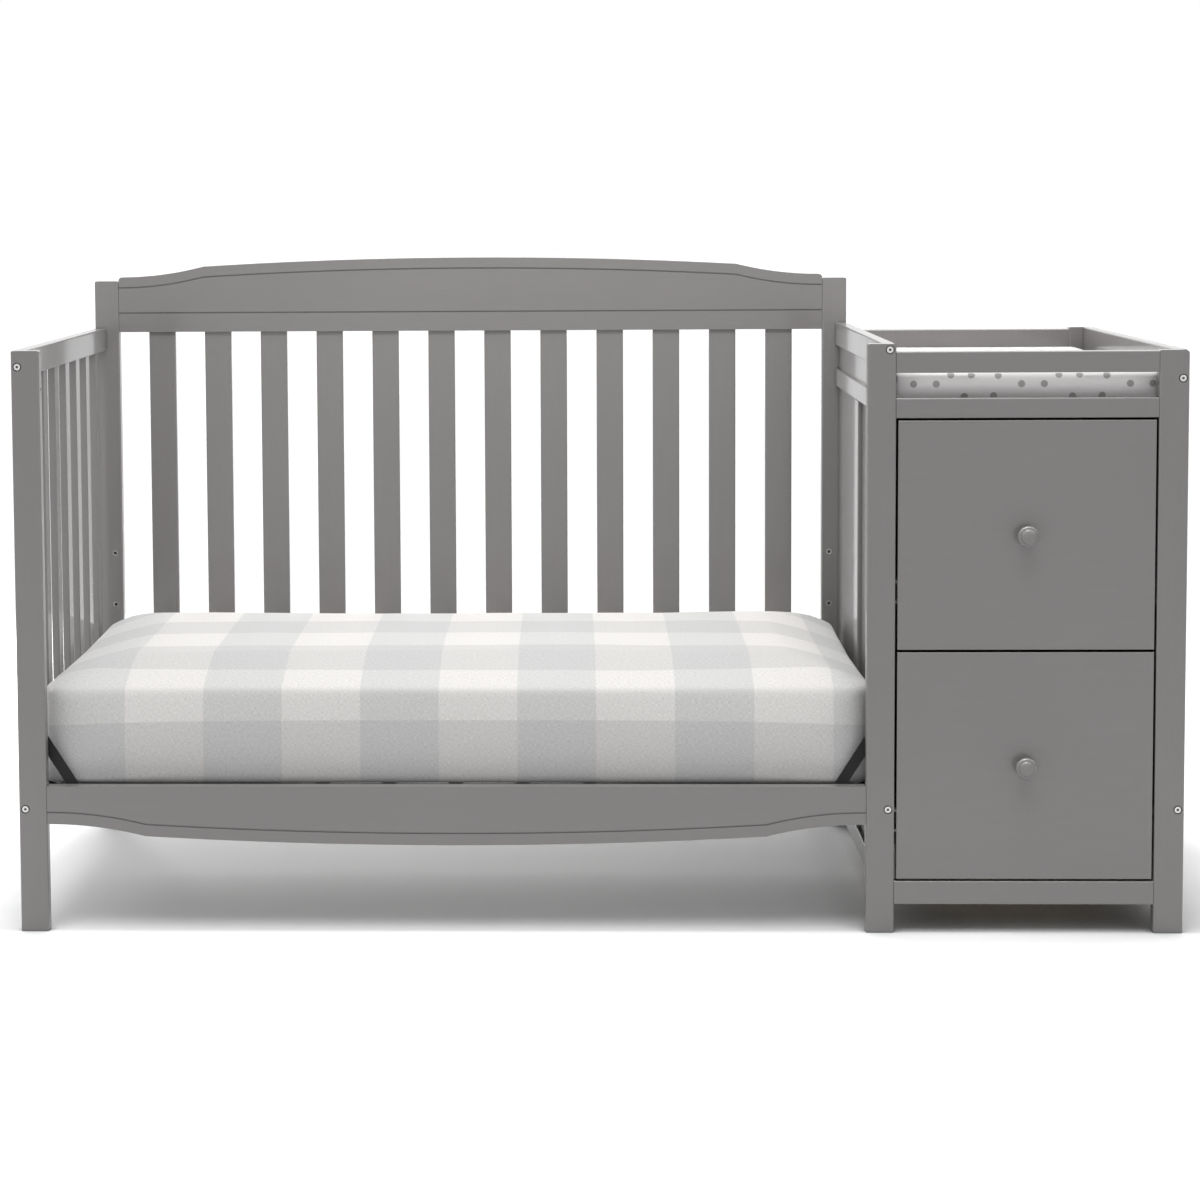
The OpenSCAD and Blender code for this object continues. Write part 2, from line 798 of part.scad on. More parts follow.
// Height of the runner's lower edge for the drawer whose front starts at front_z
function runner_z(front_z) = front_z + box_lift + runner_lift;

module runner_battens() {
    for (front_z = [lower_front_z, upper_front_z])
        color(plywood) in_frame()
            translate([batten_x, post_thickness, runner_z(front_z) - runner_top_gap])
                cube([batten_thickness, end_span, batten_height]);
}

// Channel that opens to +X, with its web on the plane x = 0
module channel(width, length, height) {
    difference() {
        cube([width, length, height]);
        translate([runner_steel, -cut, runner_steel])
            cube([width, length + 2 * cut, height - 2 * runner_steel]);
    }
}

// Mirrors a left-hand fitting to the right-hand side of the changer's opening
module both_sides() {
    for (side = [0, 1])
        translate([crib_length + side * changer_span, 0, 0]) mirror([side, 0, 0]) children();
}

module cabinet_runners() {
    for (front_z = [lower_front_z, upper_front_z])
        color(zinc) in_frame() both_sides()
            translate([0, post_thickness, runner_z(front_z)])
                channel(runner_space - runner_steel - runner_clearance, box_length,
                    runner_height);
}

module drawer_front(z) {
    color(paint) in_frame() difference() {
        translate([front_x, front_y, z])
            board_along_x([front_width, drawer_front_thickness, front_height], rail_edge_r / 2);
        translate([knob_x, front_y - cut, z + front_height / 2]) rotate([-90, 0, 0])
            cylinder(d = knob_screw_diameter + 2 * wood_clearance,
                h = drawer_front_thickness + 2 * cut);
    }
}

module drawer_sides(z) {
    for (side = [0, 1])
        color(plywood) in_frame()
            translate([box_x + side * (box_width - box_wall), box_y, z + box_lift])
                cube([box_wall, box_length, box_height]);
}

module drawer_back(z) {
    color(plywood) in_frame()
        translate([box_x + box_wall, box_y + box_length - box_wall, z + box_lift])
            cube([inner_width, box_wall, box_height]);
}

module drawer_bottom(z) {
    color(plywood) in_frame()
        translate([box_x + box_wall, box_y, z + box_lift + box_bottom_lift])
            cube([inner_width, box_length - box_wall, box_bottom_thickness]);
}

// Channel on each side of the drawer, which runs inside the cabinet's channel
module drawer_runners(z) {
    inset = runner_steel + runner_clearance;
    color(zinc) in_frame() both_sides()
        translate([runner_space, box_y, runner_z(z) + inset]) mirror([1, 0, 0])
            channel(runner_space - inset, box_length, runner_height - 2 * inset);
}

// Turned knob: stem, head with a rounded rim, a ring groove and a low dome
module drawer_knob(z) {
    foot_r = knob_stem_diameter / 2;
    neck_r = foot_r - knob_neck_taper;
    ring_y = knob_reach - 3.2;
    color(paint) in_frame()
        translate([knob_x, front_y, z + front_height / 2]) rotate([90, 0, 0]) difference() {
            rotate_extrude() polygon([
                [0, 0],
                [foot_r, 0],
                [neck_r, knob_foot_length],
                [neck_r, knob_head_y - 2],
                [knob_rim - 5, knob_head_y],
                [knob_rim - 1, knob_head_y + 2.5],
                [knob_rim, knob_head_y + 6],
                [knob_rim - 1, knob_head_y + 9],
                [knob_rim - 3.5, knob_head_y + 11],
                [knob_ring_r + 1, ring_y],
                [knob_ring_r, ring_y - knob_ring_depth],
                [knob_ring_r - 1, ring_y],
                [knob_ring_r / 2, knob_reach - 1],
                [knob_ring_r / 4, knob_reach - 0.2],
                [0, knob_reach]]);
            translate([0, 0, -cut])
                cylinder(d = knob_screw_diameter + 2 * thread_clearance,
                    h = knob_hole_depth + cut);
        }
}

module knob_screw(z) {
    color(zinc) in_frame()
        translate([knob_x, box_y, z + front_height / 2]) rotate([90, 0, 0]) {
            cylinder(d = knob_screw_diameter, h = drawer_front_thickness + knob_screw_reach);
            translate([0, 0, -knob_screw_head_height])
                cylinder(d = knob_screw_head, h = knob_screw_head_height);
        }
}

module upper_drawer_front() { drawer_front(upper_front_z); }
module upper_drawer_sides() { drawer_sides(upper_front_z); }
module upper_drawer_back() { drawer_back(upper_front_z); }
module upper_drawer_bottom() { drawer_bottom(upper_front_z); }
module upper_drawer_runners() { drawer_runners(upper_front_z); }
module upper_drawer_knob() { drawer_knob(upper_front_z); }
module upper_knob_screw() { knob_screw(upper_front_z); }
module lower_drawer_front() { drawer_front(lower_front_z); }
module lower_drawer_sides() { drawer_sides(lower_front_z); }
module lower_drawer_back() { drawer_back(lower_front_z); }
module lower_drawer_bottom() { drawer_bottom(lower_front_z); }
module lower_drawer_runners() { drawer_runners(lower_front_z); }
module lower_drawer_knob() { drawer_knob(lower_front_z); }
module lower_knob_screw() { knob_screw(lower_front_z); }

// Mattress deck

// Corner of the deck and its hanger: mirrored to all four corners
module four_corners() {
    for (right = [0, 1], back = [0, 1])
        translate([right * crib_length, back * body_depth, 0])
            mirror([right, 0, 0]) mirror([0, back, 0]) children();
}

module hanger_bolt_holes(diameter) {
    four_corners() translate([hanger_foot_inset, post_thickness - cut, hanger_foot_z])
        rotate([-90, 0, 0]) cylinder(d = diameter, h = hanger_steel + angle_steel + 2 * cut);
}

// Long angle bar at the front or back of the deck, its legs towards the deck's middle
module long_angle() {
    translate([deck_x, deck_y, deck_z]) {
        translate([0, 0, -angle_leg]) cube([deck_length, angle_steel, angle_leg]);
        translate([0, 0, -angle_steel]) cube([deck_length, angle_leg, angle_steel]);
    }
}

// Short angle bar at an end, between the top legs of the long bars
module end_angle() {
    translate([deck_x, cross_y, deck_z]) {
        translate([0, 0, -angle_leg]) cube([angle_steel, cross_length, angle_leg]);
        translate([0, 0, -angle_steel]) cube([angle_leg, cross_length, angle_steel]);
    }
}

// Separate steel bars: angles round the edge, straps across, and one long strap below them
module mattress_deck() {
    pitch = (deck_length - 2 * angle_leg) / (strap_count + 1);
    for (back = [0, 1]) color(black_steel) in_frame() difference() {
        translate([0, back * body_depth, 0]) mirror([0, back, 0]) long_angle();
        hanger_bolt_holes(bolt_diameter + 2 * thread_clearance);
    }
    for (right = [0, 1]) color(black_steel) in_frame()
        translate([right * crib_length, 0, 0]) mirror([right, 0, 0]) end_angle();
    for (i = [1:strap_count]) color(black_steel) in_frame()
        translate([deck_x + angle_leg + i * pitch - strap_width / 2, cross_y,
            deck_z - angle_steel])
            cube([strap_width, cross_length, angle_steel]);
    color(black_steel) in_frame()
        translate([deck_x + angle_steel + weld_gap, body_depth / 2 - strap_width / 2,
            deck_z - 2 * angle_steel - weld_gap])
            cube([deck_length - 2 * (angle_steel + weld_gap), strap_width, angle_steel]);
}

module deck_hangers() {
    color(black_steel) in_frame() four_corners()
        translate([insert_inset, post_thickness, insert_z]) rotate([0, hanger_angle, 0])
            difference() {
                union() {
                    translate([0, 0, -hanger_width / 2])
                        cube([hanger_reach, hanger_steel, hanger_width]);
                    for (x = [0, hanger_reach])
                        translate([x, 0, 0]) rotate([-90, 0, 0])
                            cylinder(d = hanger_width, h = hanger_steel);
                }
                for (x = [0, hanger_reach])
                    translate([x, -cut, 0]) rotate([-90, 0, 0])
                        cylinder(d = hanger_hole, h = hanger_steel + 2 * cut);
            }
}

// Fasteners

// Bolt with its head's underside on the plane z = 0 and its shank along +Z
module bolt_shape(shank) {
    difference() {
        union() {
            cylinder(d = bolt_diameter, h = shank);
            translate([0, 0, -bolt_head_height])
                cylinder(d = bolt_head_diameter, h = bolt_head_height);
        }
        translate([0, 0, -bolt_head_height - cut])
            cylinder(d = bolt_socket / cos(30), h = cut + bolt_head_height / 2, $fn = 6);
    }
}

module frame_bolts() {
    for (bolt = bolts)
        color(zinc) in_frame() at_bolt(bolt) translate([0, 0, bolt_head_height])
            bolt_shape(bolt[2] - bolt_head_height + bolt_reach);
    color(zinc) in_frame() four_corners() {
        translate([insert_inset, post_thickness + hanger_steel, insert_z]) rotate([90, 0, 0])
            bolt_shape(hanger_steel + insert_length);
        translate([hanger_foot_inset, post_thickness + hanger_steel + angle_steel,
            hanger_foot_z]) rotate([90, 0, 0])
            bolt_shape(hanger_steel + angle_steel);
    }
}

module barrel_nuts() {
    for (bolt = bolts)
        color(zinc) in_frame() at_bolt(bolt) translate([0, 0, bolt[2] + nut_depth])
            difference() {
                rotate([90, 0, 0])
                    cylinder(d = barrel_nut_diameter, h = barrel_nut_length, center = true);
                translate([0, 0, -barrel_nut_diameter])
                    cylinder(d = bolt_diameter + 2 * thread_clearance,
                        h = 2 * barrel_nut_diameter);
            }
}

module threaded_inserts() {
    for (place = insert_places)
        color(zinc) in_frame() translate(place[0]) rotate(place[1]) difference() {
            cylinder(d = insert_diameter, h = insert_length);
            translate([0, 0, -cut])
                cylinder(d = bolt_diameter + 2 * thread_clearance, h = insert_length + 2 * cut);
        }
}

// Soft pieces

// Outline of a soft piece with round corners and sides that draw in between them
function soft_outline(half, r, draw) = [for (corner = [0:3])
    let (
        here = corner_centre(half, r, corner),
        next = corner_centre(half, r, (corner + 1) % 4),
        out = [cos(90 * corner + 90), sin(90 * corner + 90)])
    each concat(
        [for (i = [0:ring_arc_steps])
            let (a = 90 * corner + 90 * i / ring_arc_steps)
            here + r * [cos(a), sin(a)]],
        [for (i = [1:ring_side_steps - 1])
            let (t = i / ring_side_steps)
            here + (next - here) * t + out * (r - draw * sin(180 * t))])];

function corner_centre(half, r, corner) = [
    (corner == 0 || corner == 3 ? 1 : -1) * (half.x - r),
    (corner < 2 ? 1 : -1) * (half.y - r)];

// Closed cushion over a list of rings, centred on the origin, of triangles throughout
module soft_body(size, corner_r, draw, rings) {
    outlines = [for (ring = rings)
        soft_outline([size.x / 2 - ring[0], size.y / 2 - ring[0]],
            max(corner_r - ring[0] * 0.4, 12), draw)];
    count = len(outlines[0]);
    last = len(rings) - 1;
    points = concat(
        [for (k = [0:last], p = outlines[k]) [p.x, p.y, rings[k][1]]],
        [[0, 0, rings[0][1]], [0, 0, rings[last][1]]]);
    bottom = count * (last + 1);
    top = bottom + 1;
    faces = concat(
        [for (i = [0:count - 1]) [bottom, i, (i + 1) % count]],
        [for (k = [0:last - 1], i = [0:count - 1])
            let (j = (i + 1) % count, a = k * count, b = a + count)
            each [[a + i, b + i, b + j], [a + i, b + j, a + j]]],
        [for (i = [0:count - 1])
            [top, last * count + (i + 1) % count, last * count + i]]);
    polyhedron(points, faces);
}

module mattress() {
    color(sheet_cotton) in_frame()
        translate([crib_length / 2, body_depth / 2, mattress_base])
            soft_body([mattress_length, mattress_depth], mattress_corner_r, mattress_draw,
                mattress_rings);
}

module changing_pad() {
    color(pad_cotton) in_frame()
        translate([pad_x + pad_width / 2, pad_y + pad_length / 2, pad_base])
            soft_body([pad_width, pad_length], pad_corner_r, pad_draw, pad_rings);
}

left_front_post();
left_back_post();
centre_front_post();
centre_back_post();
changer_front_post();
changer_back_post();
left_end_top_rail();
left_end_low_rail();
left_end_slats();
headboard_rail();
back_bottom_rail();
for (i = [1:back_slat_count])
    back_slat(i);
front_rail();
divider_top_rail();
divider_cross_rails();
divider_panels();
end_muntins();
outer_end_top_rail();
outer_end_cross_rails();
outer_end_panels();
changer_top_rail();
changer_middle_rail();
changer_bottom_rail();
changer_back_rails();
changer_back_board();
changer_shelf();
runner_battens();
cabinet_runners();
upper_drawer_front();
upper_drawer_sides();
upper_drawer_back();
upper_drawer_bottom();
upper_drawer_runners();
upper_drawer_knob();
upper_knob_screw();
lower_drawer_front();
lower_drawer_sides();
lower_drawer_back();
lower_drawer_bottom();
lower_drawer_runners();
lower_drawer_knob();
lower_knob_screw();
mattress_deck();
deck_hangers();
frame_bolts();
barrel_nuts();
threaded_inserts();
mattress();
changing_pad();
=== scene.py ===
from math import exp, pi, radians

import bmesh
import bpy
from mathutils import Matrix, Vector, noise


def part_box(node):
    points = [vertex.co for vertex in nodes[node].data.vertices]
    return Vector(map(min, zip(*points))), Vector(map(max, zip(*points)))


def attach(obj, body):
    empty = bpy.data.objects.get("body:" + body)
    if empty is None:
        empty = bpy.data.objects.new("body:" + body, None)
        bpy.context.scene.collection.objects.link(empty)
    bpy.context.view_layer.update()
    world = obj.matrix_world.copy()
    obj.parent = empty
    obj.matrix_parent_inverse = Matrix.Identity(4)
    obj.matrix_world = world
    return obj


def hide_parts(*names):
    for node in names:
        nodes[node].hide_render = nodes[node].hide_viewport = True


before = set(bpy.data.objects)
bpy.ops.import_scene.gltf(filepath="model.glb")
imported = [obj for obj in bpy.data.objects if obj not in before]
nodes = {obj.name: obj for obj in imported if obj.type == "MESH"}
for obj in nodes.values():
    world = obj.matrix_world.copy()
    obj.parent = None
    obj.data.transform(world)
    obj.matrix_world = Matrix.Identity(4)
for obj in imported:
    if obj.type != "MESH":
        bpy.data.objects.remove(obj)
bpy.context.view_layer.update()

# Camera: at chest height, 4.4 m in front of the crib and turned a little to the left and
# down. The lens is shifted so that the frame keeps the crib whole.
camera_spot = (-0.0423, -4.3975, 1.1400)
camera_turn, camera_dip, camera_roll = 1.641, 4.157, -0.347


def turn(degrees, axis):
    return Matrix.Rotation(radians(degrees), 4, axis)


lens_data = bpy.data.cameras.new("camera")
lens_data.lens = 78.558
lens_data.sensor_width = 36
lens_data.shift_x = 0.0880
lens_data.shift_y = -0.1719
camera = bpy.data.objects.new("camera", lens_data)
bpy.context.scene.collection.objects.link(camera)
camera.matrix_world = (Matrix.Translation(camera_spot) @ turn(camera_turn, "Z")
                       @ turn(90 - camera_dip, "X") @ turn(camera_roll, "Z"))
bpy.context.scene.camera = camera

# Room: an even white surround, which is what polished and satin faces reflect. A wide, high
# lamp gives the soft shadows under the crib, a long panel hangs above the mattress's front
# edge, and a low panel behind the crib shines in through the slats of the headboard.
daylight_strength = 0.51
ceiling_from, ceiling_to, ceiling_glow = 0.25, 0.85, 2.2
bpy.context.scene.view_settings.view_transform = "Standard"


def part(tree, kind, inputs=(), **settings):
    """Adds a node, and links or sets each of its inputs."""
    made = tree.nodes.new("ShaderNode" + kind)
    for key, value in settings.items():
        setattr(made, key, value)
    for key, value in dict(inputs).items():
        if isinstance(value, bpy.types.NodeSocket):
            tree.links.new(value, made.inputs[key])
        else:
            made.inputs[key].default_value = value
    return made


def maths(tree, operation, *values):
    return part(tree, "Math", dict(enumerate(values)), operation=operation).outputs[0]


def ranged(tree, value, low, high, first=0.0, last=1.0, **settings):
    """The value's place between low and high, as a number from first to last."""
    return part(tree, "MapRange", {"Value": value, "From Min": low, "From Max": high,
                                   "To Min": first, "To Max": last}, **settings).outputs[0]


def seen_by(tree):
    """The rays' kinds, and 1 for those that only look: from the camera, gloss and glass."""
    kinds = part(tree, "LightPath").outputs
    looks = maths(tree, "MAXIMUM", kinds["Is Camera Ray"], kinds["Is Glossy Ray"])
    return kinds, maths(tree, "MAXIMUM", looks, kinds["Is Transmission Ray"])


surround = bpy.data.worlds.new("surround")
bpy.context.scene.world = surround
surround.use_nodes = True
room = surround.node_tree
room.nodes.clear()
room_rays, room_seen = seen_by(room)
daylight = part(room, "Background", {"Color": (0.985, 0.992, 1.0, 1),
                                     "Strength": daylight_strength})
height = part(room, "SeparateXYZ", {"Vector": part(room, "TexCoord").outputs["Generated"]})
ceiling = ranged(room, height.outputs["Z"], ceiling_from, ceiling_to, 0.0, ceiling_glow)
white = part(room, "Background", {"Color": (1, 1, 1, 1), "Strength": maths(
    room, "ADD", 1.0, maths(room, "MULTIPLY", room_rays["Is Glossy Ray"], ceiling))})
either = part(room, "MixShader", {0: room_seen, 1: daylight.outputs[0],
                                  2: white.outputs[0]})
part(room, "OutputWorld", {"Surface": either.outputs[0]})


def lamp(name, kind, energy, place, **settings):
    """Hangs a lamp, which shines straight down unless its place turns it."""
    light = bpy.data.lights.new(name, kind)
    light.energy = energy
    for key, value in settings.items():
        setattr(light, key, value)
    hung = bpy.data.objects.new(name, light)
    bpy.context.scene.collection.objects.link(hung)
    hung.matrix_world = place
    return hung


lamp("high_lamp", "SUN", 1.20, turn(-12, "Z") @ turn(18, "X"), angle=radians(32))
lamp("panel_lamp", "AREA", 23, Matrix.Translation((-0.05, -0.42, 2.25)) @ turn(26, "X"),
     shape="RECTANGLE", size=1.6, size_y=0.3)
back_lamp = lamp("back_lamp", "AREA", 72,
                 Matrix.Translation((-1.1, 2.6, 0.85)) @ turn(-74, "X"),
                 shape="RECTANGLE", size=1.6, size_y=0.6)
back_lamp.visible_camera = False
back_lamp.visible_glossy = False

# Floor: white studio paint, with painted shade right under and beside what stands on it. Away
# from the crib it also glows for the camera and in reflections, so that it runs into the white
# behind it. That glow lights nothing.
floor_reach = 60
shade_distance = 0.16
# The colour of the painted shade under things, and of the open floor.
painted_shade_floor = (0.26, 0.262, 0.265, 1)
open_floor = (0.95, 0.95, 0.95, 1)


def blended(tree, factor, one, other, **settings):
    """One colour that passes into another as the factor goes from 0 to 1."""
    return part(tree, "Mix", {"Factor": factor, 6: one, 7: other}, data_type="RGBA",
                **settings).outputs[2]


floor_shape = bmesh.new()
bmesh.ops.create_grid(floor_shape, x_segments=1, y_segments=1, size=floor_reach)
floor_mesh = bpy.data.meshes.new("floor")
floor_shape.to_mesh(floor_mesh)
floor_shape.free()
floor = bpy.data.objects.new("floor", floor_mesh)
bpy.context.scene.collection.objects.link(floor)
floor_paint = bpy.data.materials.new("studio_floor")
floor_paint.use_nodes = True
floor_look = floor_paint.node_tree
floor_look.nodes.clear()
# Painted shade: the floor's colour goes dark where an occlusion test finds things close over
# it.
floor_occlusion = part(floor_look, "AmbientOcclusion", {"Distance": shade_distance}, samples=8)
floor_colour_with_painted_shade = blended(floor_look, ranged(floor_look, floor_occlusion.outputs["AO"], 0.25, 0.80),
                     painted_shade_floor, open_floor)
floor_coat = part(floor_look, "BsdfDiffuse", {"Color": floor_colour_with_painted_shade})
floor_place = part(floor_look, "SeparateXYZ", {
    "Vector": part(floor_look, "TexCoord").outputs["Object"]}).outputs


def floor_white(axis, near, far, most):
    """The glow that grows from near to far, on both sides of the crib along one axis."""
    off = maths(floor_look, "ABSOLUTE", floor_place[axis])
    return ranged(floor_look, off, near, far, 0.01, most, interpolation_type="SMOOTHSTEP")


glow = maths(floor_look, "MAXIMUM", floor_white("X", 0.91, 1.12, 0.30),
             floor_white("Y", 0.43, 1.15, 0.20))
floor_glow = part(floor_look, "Emission", {"Color": (1, 1, 1, 1), "Strength": maths(
    floor_look, "MULTIPLY", seen_by(floor_look)[1], glow)})
part(floor_look, "OutputMaterial", {"Surface": part(
    floor_look, "AddShader", {0: floor_coat.outputs[0], 1: floor_glow.outputs[0]}).outputs[0]})
floor_mesh.materials.append(floor_paint)

# Six posts: planed hardwood, eased on every arris and sprayed with a satin grey. The grain
# hardly shows: faint streaks along the wood and a slight ripple under a smooth top coat.
# Painted shade darkens the grey in the cut grooves and narrow joints, where little light gets
# in.
grey_low = (0.168, 0.1605, 0.1572, 1)
grey_high = (0.178, 0.1702, 0.1666, 1)
groove_reach = 0.006
along_grain, across_grain = 3.0, 38.0


def surface(name, settings=()):
    """A new material, its tree and its shader, with the shader's plain numbers set."""
    made = bpy.data.materials.new(name)
    made.use_nodes = True
    shader = made.node_tree.nodes["Principled BSDF"]
    for key, value in dict(settings).items():
        shader.inputs[key].default_value = value
    return made, made.node_tree, shader


def on_piece(tree):
    """The place on the piece, which is also its place in the crib."""
    return part(tree, "TexCoord").outputs["Object"]


def stretched(tree, place, scale):
    return part(tree, "Mapping", {"Vector": place, "Scale": scale}).outputs[0]


def cloudy(tree, place, scale, detail, roughness=0.5, distortion=0.0, **settings):
    """An uneven pattern of patches and streaks, from 0 to 1."""
    return part(tree, "TexNoise", {"Vector": place, "Scale": scale, "Detail": detail,
                                   "Roughness": roughness, "Distortion": distortion},
                **settings).outputs["Fac"]


def weighed(tree, one, share, other):
    """Two patterns added: the first by its share and the second by the rest."""
    return maths(tree, "ADD", maths(tree, "MULTIPLY", one, share),
                 maths(tree, "MULTIPLY", other, 1 - share))


def shades(tree, pattern, low, high, dark, light):
    """The dark colour up to the pattern's low value, and the light one from its high."""
    ramp = part(tree, "ValToRGB", {"Fac": pattern})
    for stop, value, colour in zip(ramp.color_ramp.elements, (low, high), (dark, light)):
        stop.position = value
        stop.color = colour
    return ramp.outputs["Color"]


def relief(tree, shader, pattern, strength, depth):
    """Raises a pattern on the shader's surface, over what is raised on it already."""
    inputs = {"Height": pattern, "Strength": strength, "Distance": depth}
    normal = shader.inputs["Normal"]
    if normal.is_linked:
        inputs["Normal"] = normal.links[0].from_socket
    tree.links.new(part(tree, "Bump", inputs).outputs[0], normal)


def satin_grey(name, along):
    """Satin grey paint over hardwood whose grain runs along one axis."""
    paint, look, shader = surface(name, {"Coat Weight": 0.7, "Coat Roughness": 0.10})
    place = on_piece(look)
    fibres = stretched(look, place, [along_grain if axis == along else across_grain
                                     for axis in "XYZ"])
    grain = cloudy(look, fibres, 4.0, 5.0, 0.62, 0.3)
    cloud = cloudy(look, place, 5.0, 3.0)
    peel = cloudy(look, place, 620.0, 2.0)
    grey = shades(look, weighed(look, grain, 0.55, cloud), 0.32, 0.68, grey_low, grey_high)
    # Painted shade: the grey is darkened where an occlusion test finds other faces close by,
    # in grooves and joints.
    joint_occlusion = part(look, "AmbientOcclusion", {"Distance": groove_reach}, samples=8)
    painted_joint_shade = ranged(look, joint_occlusion.outputs["AO"], 0.30, 0.80, 0.45, 1.0)
    look.links.new(blended(look, 1.0, grey, painted_joint_shade, blend_type="MULTIPLY"),
                   shader.inputs["Base Color"])
    look.links.new(ranged(look, cloud, 0.3, 0.7, 0.37, 0.43), shader.inputs["Roughness"])
    relief(look, shader, grain, 0.04, 0.0006)
    relief(look, shader, peel, 0.03, 0.0003)
    return paint


def finish(material, *names):
    """Gives CAD nodes a material in place of the plain ones they came with."""
    for name in names:
        data = nodes[name].data
        if not data.materials:
            data.materials.append(material)
        for slot in nodes[name].material_slots:
            slot.material = material


upright_paint = satin_grey("satin_grey_upright", "Z")
finish(upright_paint, "left_front_post", "left_back_post", "centre_front_post",
       "centre_back_post", "changer_front_post", "changer_back_post")

# Left end: a top rail and a low rail between the posts, and seven flat slats let into them.
deep_paint = satin_grey("satin_grey_front_to_back", "Y")
finish(deep_paint, "left_end_top_rail", "left_end_low_rail")
finish(upright_paint, "left_end_slats")

# Headboard: a wide arched rail with two cut grooves, twelve flat slats and a bottom rail,
# bolted between the back posts.
long_paint = satin_grey("satin_grey_left_to_right", "X")
finish(long_paint, "headboard_rail", "back_bottom_rail")
finish(upright_paint, *["back_slat_%02d" % i for i in range(1, 13)])

# Front rail of the daybed form: the same arch turned down, with one groove along it.
finish(long_paint, "front_rail")

# Divider and outer end of the changer: rails, an upright in the middle, and panels that
# lie a little behind the faces of the rails.
finish(deep_paint, "divider_top_rail", "divider_cross_rails", "outer_end_top_rail",
       "outer_end_cross_rails")
finish(upright_paint, "divider_panels", "end_muntins", "outer_end_panels")

# Changer: rails at the front and back of the tray and under the drawers, and the shelf
# that carries the pad.
finish(long_paint, "changer_top_rail", "changer_middle_rail", "changer_bottom_rail",
       "changer_back_rails")
finish(deep_paint, "changer_shelf")

# Back of the changer: a sheet of hardboard, painted grey on the face that shows. Its
# surface is finely speckled and duller than the paint on the wood.
board_dark = (0.185, 0.178, 0.168, 1)
board_light = (0.245, 0.236, 0.222, 1)
hardboard, board_look, board_shader = surface("grey_faced_hardboard", {"Roughness": 0.62})
board_place = on_piece(board_look)
speckle = cloudy(board_look, board_place, 260.0, 4.0)
mottle = weighed(board_look, speckle, 0.6, cloudy(board_look, board_place, 9.0, 3.0))
board_look.links.new(shades(board_look, mottle, 0.36, 0.64, board_dark, board_light),
                     board_shader.inputs["Base Color"])
relief(board_look, board_shader, speckle, 0.15, 0.0004)
finish(hardboard, "changer_back_board")

# Drawers: grey fronts over boxes of lacquered birch plywood. The plies show on the sawn
# edges as thin light and dark lines, and the faces have a pale rotary-cut figure.
ply_thickness = 0.0015
birch_dark = (0.50, 0.355, 0.205, 1)
birch_light = (0.66, 0.50, 0.315, 1)
cross_ply = (0.27, 0.16, 0.085, 1)


def birch_ply(name, through):
    """Birch plywood whose plies are stacked along one axis."""
    ply, look, shader = surface(name, {"Roughness": 0.38})
    place = on_piece(look)
    sliced = stretched(look, place, {"X": (9, 2.2, 30), "Y": (2.2, 9, 30),
                                     "Z": (2.2, 30, 9)}[through])
    figure = cloudy(look, sliced, 3.0, 7.0, 0.6, 0.9)
    face = shades(look, figure, 0.3, 0.7, birch_dark, birch_light)
    axes = part(look, "SeparateXYZ", {"Vector": place}).outputs
    stack = maths(look, "PINGPONG", maths(look, "DIVIDE", axes[through], ply_thickness), 1.0)
    line = maths(look, "MULTIPLY", ranged(look, stack, 0.42, 0.58), 0.34)
    look.links.new(blended(look, line, face, cross_ply), shader.inputs["Base Color"])
    relief(look, shader, figure, 0.12, 0.0005)
    return ply


side_ply = birch_ply("birch_plywood_sides", "X")
back_ply = birch_ply("birch_plywood_backs", "Y")
base_ply = birch_ply("birch_plywood_bottoms", "Z")
for level in ("upper", "lower"):
    finish(long_paint, level + "_drawer_front")
    finish(side_ply, level + "_drawer_sides")
    finish(back_ply, level + "_drawer_back")
    finish(base_ply, level + "_drawer_bottom")

# Battens behind the right-hand runners: sawn pine, left bare inside the cabinet.
pine_dark = (0.47, 0.29, 0.12, 1)
pine_light = (0.66, 0.48, 0.26, 1)
pine, pine_look, pine_shader = surface("bare_pine", {"Roughness": 0.66})
pine_place = stretched(pine_look, on_piece(pine_look), (22, 1.6, 22))
rings = part(pine_look, "TexWave", {
    "Vector": pine_place, "Scale": 1.6, "Distortion": 5.0, "Detail": 3.0,
    "Detail Scale": 1.2}, bands_direction="DIAGONAL").outputs["Fac"]
pine_look.links.new(shades(pine_look, rings, 0.0, 1.0, pine_dark, pine_light),
                    pine_shader.inputs["Base Color"])
relief(pine_look, pine_shader, rings, 0.2, 0.0006)
finish(pine, "runner_battens")

# Runners, knob screws, barrel nuts and inserts: rolled steel, plated, with the soft
# spangle and the fine drawn lines of the plating. The inserts are nickel and the rest zinc.


def plated_steel(name, colour, roughness, drawn):
    """Bright plated steel with a faint drawn texture."""
    plate, look, shader = surface(name, {"Metallic": 1.0})
    place = on_piece(look)
    lines = cloudy(look, stretched(look, place, drawn), 5.0, 4.0)
    spangle = part(look, "TexVoronoi", {"Vector": place, "Scale": 190.0}).outputs["Distance"]
    mottled = weighed(look, lines, 0.6, spangle)
    dull = [0.86 * level for level in colour]
    look.links.new(blended(look, mottled, (*dull, 1), (*colour, 1)),
                   shader.inputs["Base Color"])
    look.links.new(ranged(look, mottled, 0.0, 1.0, roughness - 0.07, roughness + 0.09),
                   shader.inputs["Roughness"])
    relief(look, shader, lines, 0.08, 0.0002)
    return plate


zinc = plated_steel("zinc_plate", (0.62, 0.635, 0.65), 0.34, (30, 2, 30))
finish(zinc, "cabinet_runners", "upper_drawer_runners", "lower_drawer_runners",
       "upper_knob_screw", "lower_knob_screw", "barrel_nuts")
nickel = plated_steel("bright_nickel", (0.60, 0.595, 0.58), 0.32, (40, 40, 40))
finish(nickel, "threaded_inserts")
